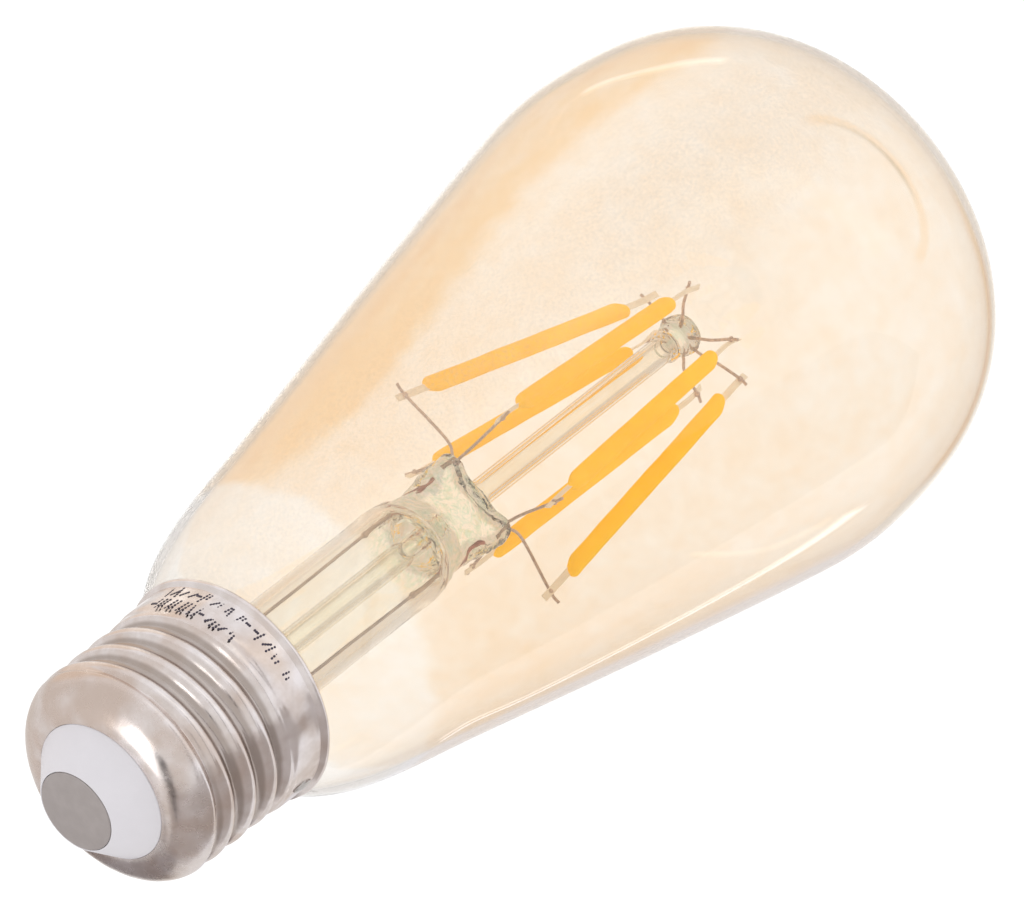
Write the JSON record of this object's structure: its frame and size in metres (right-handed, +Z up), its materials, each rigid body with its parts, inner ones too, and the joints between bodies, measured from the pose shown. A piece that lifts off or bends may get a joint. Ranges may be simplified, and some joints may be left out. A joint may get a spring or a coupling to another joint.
{
  "type": "light bulb",
  "caption": "Smart LED filament light bulb: amber pear-shaped clear glass, screw cap, glass stem and a cage of six phosphor filaments.",
  "frame": {"origin": "centre of the centre contact's flat face, at the bottom of the screw cap", "axes": "+Z up the bulb's axis from the contact to the crown; X is the wide direction of the stem press, with one lead-in wire on each side"},
  "size_m": [0.064, 0.064, 0.1403],
  "materials": {
    "amber_glass": "clear glass with an amber lacquer that fades out towards the neck",
    "clear_glass": "clear soda glass with a slight green-grey tint",
    "phosphor": "matte silicone with yellow phosphor",
    "tab_metal": "stamped thin strip",
    "wire_metal": "drawn wire, slightly dulled",
    "dumet": "copper-clad sealing wire, oxidised red",
    "cap_nickel": "satin nickel plating with slight tarnish",
    "insulator": "matte pale glaze",
    "contact_metal": "dull flat disc",
    "cement": "rough basing cement",
    "solder": "smooth weld nugget",
    "sleeve_plastic": "moulded",
    "circuit_board": "solder mask",
    "chip_black": "moulded epoxy",
    "capacitor_can": "shrink sleeve",
    "copper": "enamelled copper",
    "resistor_body": "lacquered body",
    "shield_metal": "tinned sheet",
    "red_insulation": "silicone insulation",
    "black_insulation": "silicone insulation"
  },
  "bodies": {
    "root": {"glass_envelope": "amber_glass", "stem_tube": "clear_glass", "exhaust_tube": "clear_glass", "support_rod": "clear_glass", "support_bead": "clear_glass", "filament_1": "phosphor", "filament_2": "phosphor", "filament_3": "phosphor", "filament_4": "phosphor", "filament_5": "phosphor", "filament_6": "phosphor", "filament_tab_lower_1": "tab_metal", "filament_tab_lower_2": "tab_metal", "filament_tab_lower_3": "tab_metal", "filament_tab_lower_4": "tab_metal", "filament_tab_lower_5": "tab_metal", "filament_tab_lower_6": "tab_metal", "filament_tab_upper_1": "tab_metal", "filament_tab_upper_2": "tab_metal", "filament_tab_upper_3": "tab_metal", "filament_tab_upper_4": "tab_metal", "filament_tab_upper_5": "tab_metal", "filament_tab_upper_6": "tab_metal", "feed_wire_1": "wire_metal", "feed_wire_2": "wire_metal", "feed_wire_3": "wire_metal", "feed_wire_4": "wire_metal", "feed_wire_5": "wire_metal", "feed_wire_6": "wire_metal", "anchor_wire_1": "wire_metal", "anchor_wire_2": "wire_metal", "anchor_wire_3": "wire_metal", "anchor_wire_4": "wire_metal", "anchor_wire_5": "wire_metal", "anchor_wire_6": "wire_metal", "lead_in_left": "wire_metal", "lead_in_right": "wire_metal", "dumet_left": "dumet", "dumet_right": "dumet", "screw_shell": "cap_nickel", "insulator": "insulator", "centre_contact": "contact_metal", "basing_cement": "cement", "rim_weld": "solder", "insulating_sleeve": "sleeve_plastic", "driver_board": "circuit_board", "wireless_module": "circuit_board", "bridge_rectifier": "chip_black", "driver_chip": "chip_black", "bulk_capacitor": "capacitor_can", "inductor": "copper", "antenna": "copper", "fuse_resistor": "resistor_body", "shield_can": "shield_metal", "live_wire": "red_insulation", "neutral_wire": "black_insulation"}
  },
  "joints": []
}
